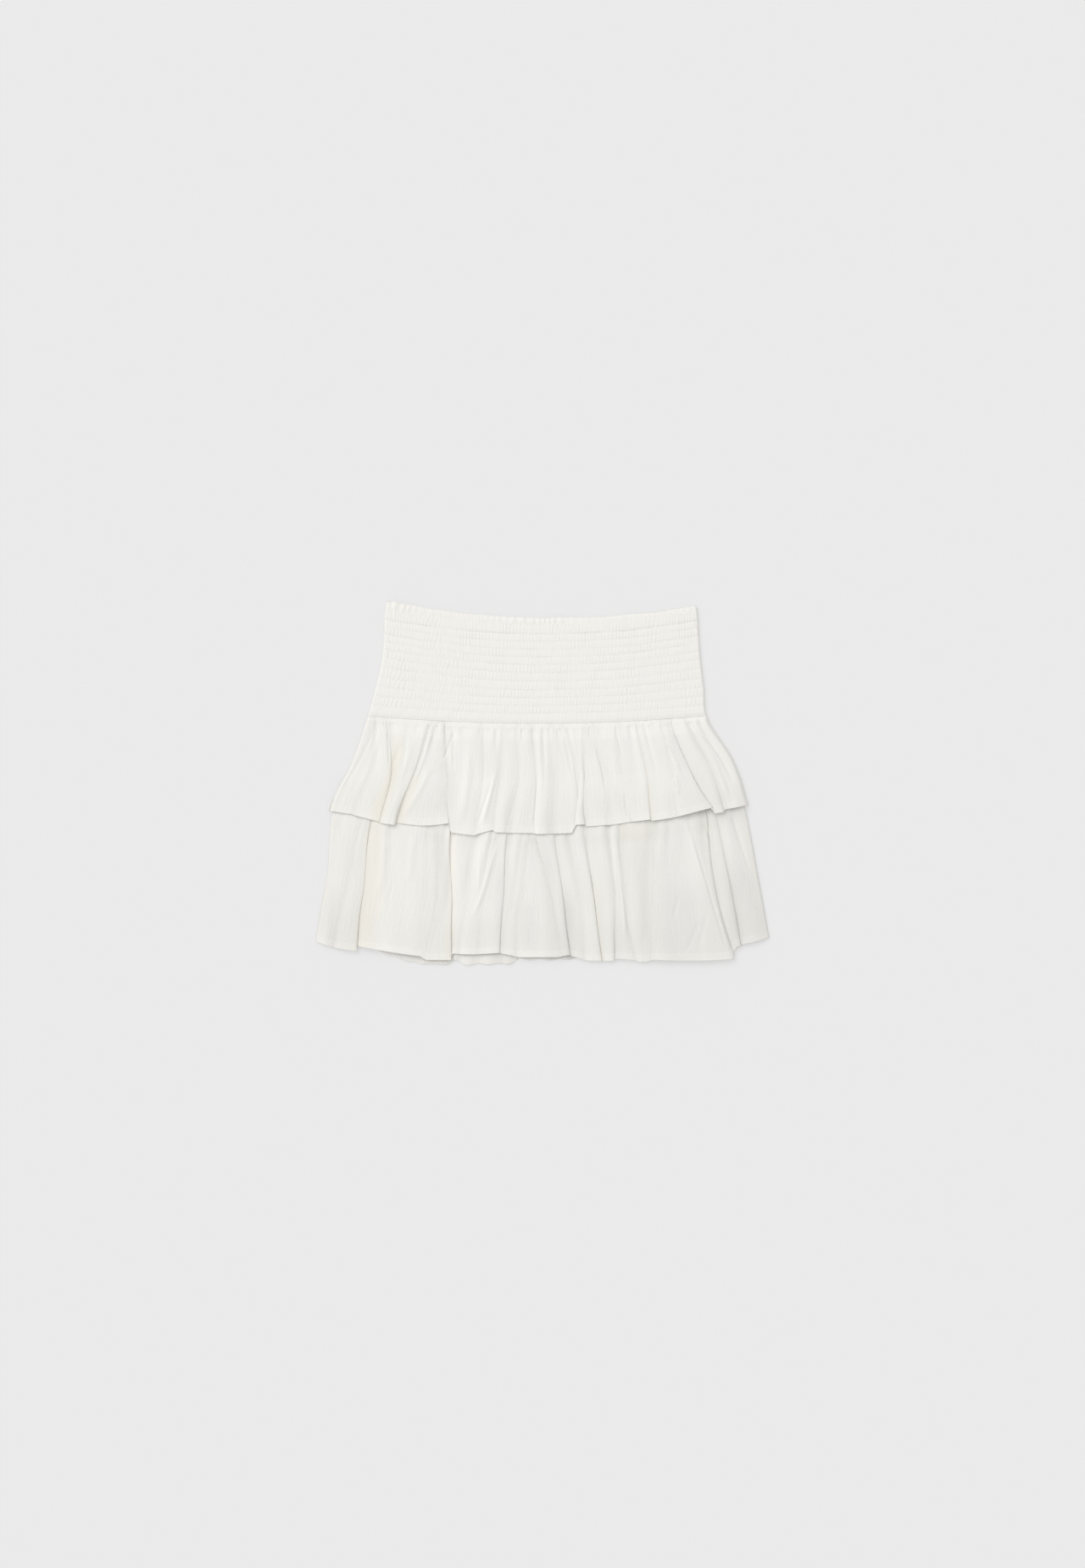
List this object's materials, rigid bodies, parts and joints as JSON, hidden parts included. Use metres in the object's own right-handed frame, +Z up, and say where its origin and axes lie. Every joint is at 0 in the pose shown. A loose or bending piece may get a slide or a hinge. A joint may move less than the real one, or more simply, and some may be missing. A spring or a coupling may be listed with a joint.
{
  "type": "ruffle skort",
  "caption": "Women's mini skort laid flat: a wide smocked waistband with a frilled top edge over gathered ruffle tiers, with plain shorts inside.",
  "frame": {"origin": "on the surface the garment rests on, under the middle of its outline", "axes": "+X to the right seen from above, +Y towards the waist, +Z up from the surface, out of the garment's front"},
  "size_m": [0.483, 0.3868, 0.0158],
  "materials": {
    "smocked_cloth": "warm off-white crinkled gauze, shirred, matt",
    "ruffle_cloth": "warm off-white crinkled gauze, matt",
    "underskirt_cloth": "plain warm off-white cotton, matt",
    "shorts_cloth": "plain warm off-white cotton, matt"
  },
  "bodies": {
    "root": {"waistband_back": "smocked_cloth", "waistband_front": "smocked_cloth", "upper_ruffle_back": "ruffle_cloth", "underskirt_back": "underskirt_cloth", "lower_ruffle_back": "ruffle_cloth", "underskirt_front": "underskirt_cloth", "lower_ruffle_front": "ruffle_cloth", "upper_ruffle_front": "ruffle_cloth", "shorts_back_left": "shorts_cloth", "shorts_front_left": "shorts_cloth", "shorts_back_right": "shorts_cloth", "shorts_front_right": "shorts_cloth"}
  },
  "joints": []
}
